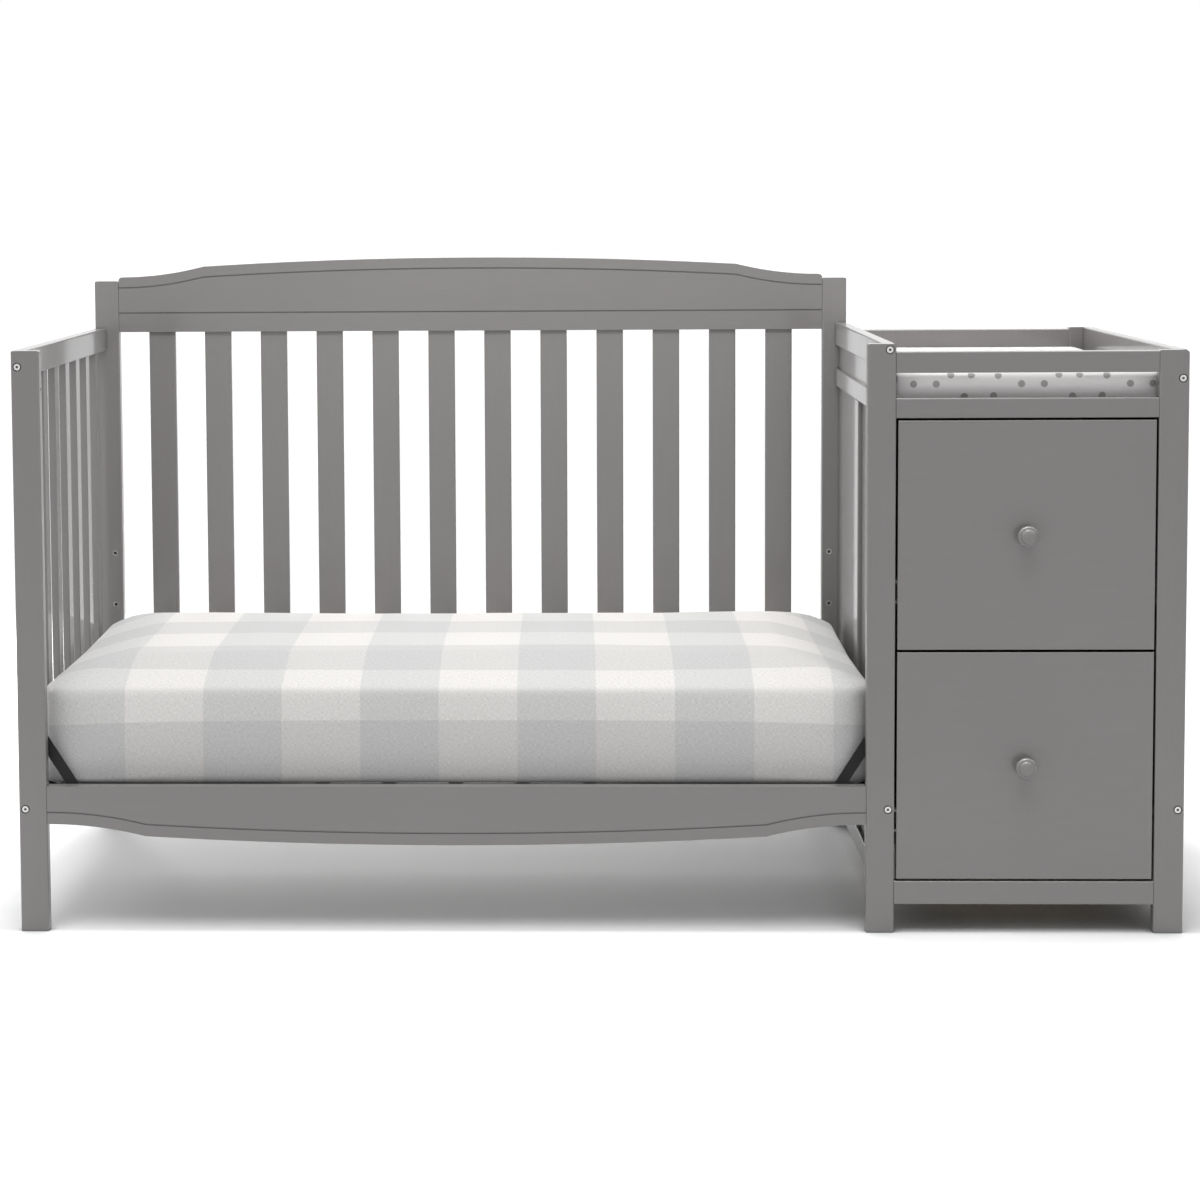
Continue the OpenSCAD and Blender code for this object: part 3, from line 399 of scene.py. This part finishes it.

# Bolts that hold the posts to the rails and the deck's hangers to the posts: pan heads with a
# hexagon socket. The head faces are bright steel; the sockets and sides are coloured dark.
face_skin = 0.0005
bolt_off_face_dark = (0.09, 0.088, 0.085, 1)
burnished = plated_steel("burnished_bolt_steel", (0.66, 0.655, 0.64), 0.30, (40, 40, 40))
bolt_look = burnished.node_tree
bolt_colour = bolt_look.nodes["Principled BSDF"].inputs["Base Color"]
bolts_low, bolts_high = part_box("frame_bolts")
bolt_y = part(bolt_look, "SeparateXYZ", {"Vector": on_piece(bolt_look)}).outputs["Y"]
# Only the head faces keep the bright steel; everything else, sockets and sides, takes the dark
# colour.
on_face = maths(bolt_look, "ADD",
                maths(bolt_look, "LESS_THAN", bolt_y, bolts_low[1] + face_skin),
                maths(bolt_look, "GREATER_THAN", bolt_y, bolts_high[1] - face_skin))
bolt_look.links.new(blended(bolt_look, on_face, bolt_off_face_dark,
                            bolt_colour.links[0].from_socket), bolt_colour)
finish(burnished, "frame_bolts")

# Mattress deck and its hangers: black powder-coated steel angles and straps. The deck hangs
# on a flat hanger at each corner, from the lowest insert of each post.
coat_dark = (0.006, 0.006, 0.0065, 1)
coat_light = (0.012, 0.012, 0.0125, 1)
powder_coat, coat_look, coat_shader = surface("black_powder_coat", {
    "Roughness": 0.5, "Specular IOR Level": 0.25})
coat_place = on_piece(coat_look)
haze = cloudy(coat_look, coat_place, 14.0, 3.0)
coat_look.links.new(shades(coat_look, haze, 0.3, 0.7, coat_dark, coat_light),
                    coat_shader.inputs["Base Color"])
relief(coat_look, coat_shader, cloudy(coat_look, coat_place, 950.0, 3.0), 0.3, 0.0002)
finish(powder_coat, "mattress_deck", "deck_hangers")

# Knobs: turned beech, painted with the fronts. A thick rim, a cove inside it and a low
# raised disc in the middle; each is held by a screw from inside the drawer.
knob_steps = 40

# Half the knob's outline, in millimetres: out from the axis, and out from the drawer.
knob_profile = [(0.0, 0.0), (8.5, 0.0), (8.6, 0.8), (7.4, 3.2), (7.0, 6.0), (7.2, 9.5),
                (8.6, 11.8), (12.0, 13.2), (15.2, 14.6), (16.7, 16.6), (17.0, 18.6),
                (16.6, 20.6), (15.5, 22.2), (14.1, 23.0), (13.0, 22.9), (12.3, 22.9),
                (11.9, 23.4), (11.7, 24.6), (11.2, 25.7), (10.0, 26.5), (7.0, 27.3),
                (3.5, 27.85), (0.0, 28.0)]
for level in ("upper", "lower"):
    low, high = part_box(level + "_drawer_knob")
    middle = (Vector(low) + Vector(high)) / 2
    front_y = Vector(high).y
    turned = bmesh.new()
    profile = [turned.verts.new((middle.x + r / 1000, front_y - out / 1000, middle.z))
               for r, out in knob_profile]
    outline = [turned.edges.new(pair) for pair in zip(profile, profile[1:])]
    bmesh.ops.spin(turned, geom=profile + outline, cent=(middle.x, 0, middle.z),
                   axis=(0, 1, 0), angle=2 * pi, steps=knob_steps, use_merge=True)
    bmesh.ops.remove_doubles(turned, verts=turned.verts, dist=1e-5)
    bmesh.ops.recalc_face_normals(turned, faces=turned.faces)
    for face in turned.faces:
        face.smooth = True
    knob_mesh = bpy.data.meshes.new(level + "_knob")
    turned.to_mesh(knob_mesh)
    turned.free()
    knob = bpy.data.objects.new(level + "_knob", knob_mesh)
    bpy.context.scene.collection.objects.link(knob)
    rounder = knob.modifiers.new("rounder", "SUBSURF")
    rounder.levels = rounder.render_levels = 1
    knob_mesh.materials.append(deep_paint)
    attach(knob, level + "_drawer")
    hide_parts(level + "_drawer_knob")

# Mattress: a foam core in a fitted sheet of heathered cotton, woven in a large check of
# grey and cream. The border stands upright, folds over softly and rises to a low crown.
foot_held = 0.004
foot_height, foot_depth, foot_swell = 0.012, 0.020, 0.0035
seam_depth, seam_height, seam_give = 0.030, 0.018, 0.1
swell_frames = 20


def to_edge(low, high, corner, spot):
    """How far a spot lies in from a rounded outline, and which way leads out of it."""
    out = Vector((0, 0))
    for i in (0, 1):
        off = spot[i] - (low[i] + high[i]) / 2
        reach = (high[i] - low[i]) / 2 - corner
        out[i] = off - min(max(off, -reach), reach)
    return max(0, corner - out.length), out / max(out.length, 1e-6)


def settle(piece):
    """Makes what the modifiers show the piece's own mesh."""
    bpy.context.view_layer.update()
    shown = piece.evaluated_get(bpy.context.evaluated_depsgraph_get())
    old = piece.data
    piece.data = bpy.data.meshes.new_from_object(shown)
    piece.modifiers.clear()
    piece.data.name = old.name
    bpy.data.meshes.remove(old)


def swell(piece, held, cap):
    """Blows the cover up like a cushion, with its held points weighted to stay put."""
    grip = piece.vertex_groups.new(name="held")
    for index, weight in held:
        grip.add([index], weight, "REPLACE")
    start = [v.co.copy() for v in piece.data.vertices]
    cloth = piece.modifiers.new("cover", "CLOTH")
    cloth.settings.quality = 5
    cloth.settings.mass = 0.2
    cloth.settings.tension_stiffness = cloth.settings.compression_stiffness = 18
    cloth.settings.shear_stiffness = 8
    cloth.settings.bending_stiffness = 2
    cloth.settings.use_pressure = True
    cloth.settings.uniform_pressure_force = 4
    cloth.settings.effector_weights.gravity = 0
    cloth.settings.vertex_group_mass = "held"
    cloth.collision_settings.use_collision = False
    cloth.point_cache.frame_start = 1
    cloth.point_cache.frame_end = swell_frames
    for step in range(1, swell_frames + 1):
        bpy.context.scene.frame_set(step)
    settle(piece)
    for vert, was in zip(piece.data.vertices, start):
        moved = vert.co - was
        if moved.length > cap:
            vert.co = was + moved * (cap / moved.length)
    piece.vertex_groups.clear()
    bpy.context.scene.frame_set(1)


def filled(name, node, voxel, start_in, cap, held_height, corner, seam_z):
    """Remeshes a soft node's shape, and swells it with its base and its top seam held."""
    low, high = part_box(node)
    shape = bmesh.new()
    shape.from_mesh(nodes[node].data)
    bmesh.ops.remove_doubles(shape, verts=shape.verts, dist=1e-5)
    cover = bpy.data.meshes.new(name)
    shape.to_mesh(cover)
    shape.free()
    piece = bpy.data.objects.new(name, cover)
    bpy.context.scene.collection.objects.link(piece)
    even = piece.modifiers.new("even", "REMESH")
    even.mode = "VOXEL"
    even.voxel_size = voxel
    settle(piece)
    piece.data.update()
    foot_z = low[2]
    shape = bmesh.new()
    shape.from_mesh(piece.data)
    shape.normal_update()
    held = []
    for vert in shape.verts:
        lift = min(1, max(0, (vert.co.z - foot_z - foot_held) / held_height))
        depth, out = to_edge(low, high, corner, vert.co)
        if depth < seam_depth:
            lift *= min(1, seam_give + abs(vert.co.z - seam_z) / seam_height)
        if lift < 1:
            held.append((vert.index, 1 - lift))
        vert.co -= vert.normal * start_in * lift
        if vert.co.z < foot_z + foot_height and depth < foot_depth:
            push = foot_swell * (1 - (vert.co.z - foot_z) / foot_height)
            vert.co.x += out.x * push
            vert.co.y += out.y * push
    shape.to_mesh(piece.data)
    shape.free()
    swell(piece, held, cap)
    return piece


def lay_cloth(piece, low, high, corner, seam_z, rise, fade, sag):
    """Stores where each face lies on the cover, unrolled flat and mitred at the corners."""
    sag_reach = 0.11
    flat = piece.data.attributes.new("cloth", "FLOAT_VECTOR", "CORNER").data
    spots = piece.data.vertices
    for face in piece.data.polygons:
        outward = to_edge(low, high, corner, face.center)[1]
        axis = 0 if abs(outward.x) > abs(outward.y) else 1
        side = 1 if outward[axis] > 0 else -1
        for loop in face.loop_indices:
            spot = spots[piece.data.loops[loop].vertex_index].co
            depth = to_edge(low, high, corner, spot)[0]
            edge = high[axis] if side > 0 else low[axis]
            place = [spot.x, spot.y]
            under = 0
            if spot.z < seam_z:
                place[axis] = edge + side * (rise + seam_z - spot.z)
                under = depth if spot.z < low[2] + foot_height else 0
            else:
                place[axis] += side * rise * exp(-depth / fade)
            ends = exp((low[0] - spot.x) / sag_reach) + exp((spot.x - high[0]) / sag_reach)
            flat[loop].vector = (place[0], place[1] + sag * ends, under)


def woven_cotton(name, roughness):
    """Plain cotton weave on the unrolled cover, with its tree, shader, place and yarns."""
    cotton, look, shader = surface(name, {"Roughness": roughness, "Specular IOR Level": 0.2,
                                          "Sheen Weight": 0.12, "Sheen Roughness": 0.5})
    place = part(look, "Attribute", attribute_name="cloth").outputs["Vector"]
    warp, weft = [cloudy(look, stretched(look, place, run), 1.0, 3.0, 0.6,
                         noise_dimensions="2D") for run in ((1000, 190, 1), (190, 1000, 1))]
    yarns = weighed(look, warp, 0.5, weft)
    relief(look, shader, yarns, 0.35, 0.0006)
    return cotton, look, shader, place, yarns


def sewn(piece, cotton):
    """Puts the cloth on a filled piece, and softens its faces."""
    piece.data.materials.clear()
    piece.data.materials.append(cotton)
    piece.data.polygons.foreach_set("use_smooth", [True] * len(piece.data.polygons))
    softer = piece.modifiers.new("softer", "SUBSURF")
    softer.levels = softer.render_levels = 1


check_repeat = 0.124
stripe_blur = 0.007
first_column, first_row = -0.684, -0.3225
light_row = (0.665, 0.647, 0.630, 1), (0.566, 0.563, 0.554, 1)
dark_row = (0.567, 0.553, 0.540, 1), (0.496, 0.495, 0.493, 1)
plain_under = (0.70, 0.69, 0.66, 1)
sheet_cotton, sheet_look, sheet_shader, sheet_place, sheet_yarns = woven_cotton(
    "heathered_check_cotton", 0.85)
sheet_axes = part(sheet_look, "SeparateXYZ", {"Vector": sheet_place}).outputs


def stripe(axis, middle):
    """0 in the stripes around the given place and 1 in those between them."""
    off = maths(sheet_look, "SUBTRACT", sheet_axes[axis], middle)
    swing = maths(sheet_look, "PINGPONG", maths(sheet_look, "DIVIDE", off, check_repeat), 1.0)
    return ranged(sheet_look, swing, 0.5 - stripe_blur, 0.5 + stripe_blur)


column = stripe("X", first_column)
checks = blended(sheet_look, stripe("Y", first_row),
                 blended(sheet_look, column, *light_row),
                 blended(sheet_look, column, *dark_row))
slubs = ranged(sheet_look, sheet_yarns, 0.32, 0.68, 0.80, 1.16)
heather = blended(sheet_look, 1.0, checks, slubs, blend_type="MULTIPLY")
under_sheet = ranged(sheet_look, sheet_axes["Z"], 0.048, 0.050)
sheet_look.links.new(blended(sheet_look, under_sheet, heather, plain_under),
                     sheet_shader.inputs["Base Color"])

bed_low, bed_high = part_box("mattress")
bed_corner, bed_border = 0.045, 0.150
bed_seam = bed_low[2] + bed_border
puckers = ((5.0, 0.0016), (13.0, 0.0006))
mattress = filled("fitted_mattress", "mattress", voxel=0.010, start_in=0.004, cap=0.006,
                  held_height=0.030, corner=bed_corner, seam_z=bed_seam)
for vert in mattress.data.vertices:
    lift = min(1, max(0, (vert.co.z - bed_low[2]) / bed_border))
    vert.co.z += lift * sum(noise.noise(vert.co * often) * tall for often, tall in puckers)
lay_cloth(mattress, bed_low, bed_high, bed_corner, bed_seam, rise=0.005, fade=0.021,
          sag=0.011)
sewn(mattress, sheet_cotton)
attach(mattress, "mattress")
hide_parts("mattress")

# Changing pad: a slab of foam in a smooth off-white cotton cover with small grey dots. It
# fills the tray from the divider, where it is pressed square, and ends short of the outer
# end. The dots are a group of seven, in millimetres from the first, repeated both ways.
dots = [(0, 0), (35, 0), (57.6, 14.2), (89.5, 14.2), (131, 13), (78.6, -19.5), (124, -18.5)]
dot_start = (0.4914, -0.3552)
dot_step = (0.167, 0.047)
dot_radius, dot_blur = 0.0055, 0.0004
off_white = (0.80, 0.776, 0.774, 1)
dot_grey = (0.38, 0.368, 0.364, 1)
cover_cotton, cover_look, cover_shader, cover_place, cover_yarns = woven_cotton(
    "dotted_cover_cotton", 0.7)
nearest = None
for across, up in dots:
    shifted = part(cover_look, "VectorMath", {0: cover_place, 1: (
        dot_start[0] + across / 1000, dot_start[1] + up / 1000, 0)}, operation="SUBTRACT")
    axes = part(cover_look, "SeparateXYZ", {"Vector": shifted.outputs[0]}).outputs
    away = [maths(cover_look, "WRAP", axes[axis], step / 2, -step / 2)
            for axis, step in zip("XY", dot_step)]
    length = part(cover_look, "VectorMath", {0: part(cover_look, "CombineXYZ", {
        "X": away[0], "Y": away[1]}).outputs[0]}, operation="LENGTH").outputs["Value"]
    nearest = length if nearest is None else maths(cover_look, "MINIMUM", nearest, length)
ink = ranged(cover_look, nearest, dot_radius - dot_blur, dot_radius + dot_blur, 1, 0)
cover_tone = ranged(cover_look, cover_yarns, 0.3, 0.7, 0.95, 1.04)
printed = blended(cover_look, ink, off_white, dot_grey)
cover_look.links.new(blended(cover_look, 1.0, printed, cover_tone, blend_type="MULTIPLY"),
                     cover_shader.inputs["Base Color"])

pad_low, pad_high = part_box("changing_pad")
pad_corner = 0.014
pad_seam = pad_low[2] + 0.055
pad = filled("dotted_pad", "changing_pad", voxel=0.006, start_in=0.003, cap=0.005,
             held_height=0.012, corner=pad_corner, seam_z=pad_seam)
pressed_length, pressed_curve = 0.040, 1.8
for vert in pad.data.vertices:
    along = (vert.co.x - pad_low[0]) / pressed_length
    if 0 < along < 1:
        vert.co.x = pad_low[0] + pressed_length * along ** pressed_curve
lay_cloth(pad, pad_low, pad_high, pad_corner, pad_seam, rise=0.004, fade=0.012, sag=0)
sewn(pad, cover_cotton)
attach(pad, "changing_pad")
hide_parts("changing_pad")
